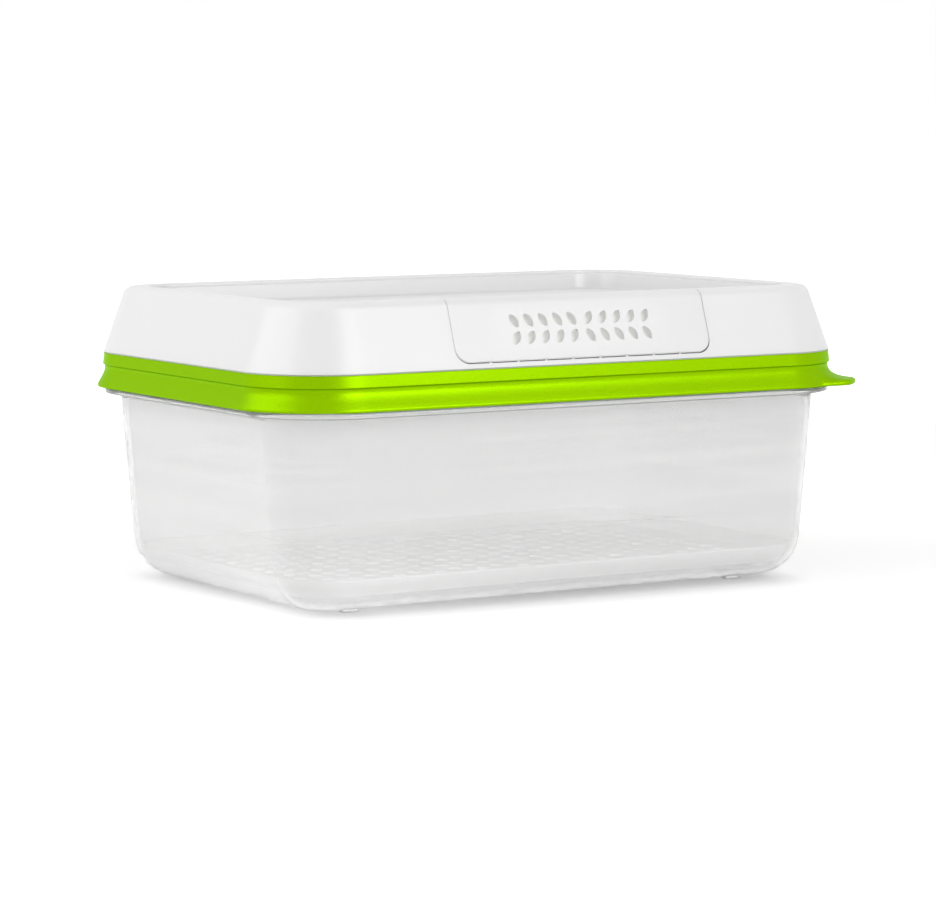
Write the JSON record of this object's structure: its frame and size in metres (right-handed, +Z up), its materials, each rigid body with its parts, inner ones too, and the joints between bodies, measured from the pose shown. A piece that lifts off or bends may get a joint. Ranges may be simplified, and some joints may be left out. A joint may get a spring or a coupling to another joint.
{
  "type": "produce keeper",
  "caption": "Rectangular frosted food box with a perforated tray inside and a white vented lid with a soft green rim and a corner lift tab.",
  "frame": {"origin": "centre of the footprint, on the surface that the box stands on", "axes": "+X along the length, +Y towards the back, away from the vent, +Z up"},
  "size_m": [0.3168, 0.2238, 0.1415],
  "materials": {
    "frosted_clear": "frosted, satin inside",
    "tray_clear": "frosted",
    "lid_white": "fine satin",
    "rim_green": "fine matte grain",
    "cover_white": "satin",
    "filter_grey": "matte nonwoven"
  },
  "bodies": {
    "box": {"base": "frosted_clear", "crisper_tray": "tray_clear"},
    "lid": {"lid_shell": "lid_white", "soft_rim": "rim_green", "vent_cover": "cover_white", "vent_filter": "filter_grey"}
  },
  "joints": [
    {"name": "lid_lift", "type": "slide", "parent": "box", "child": "lid", "axis": [0, 0, 1], "range_m": [0, 0.06]}
  ]
}
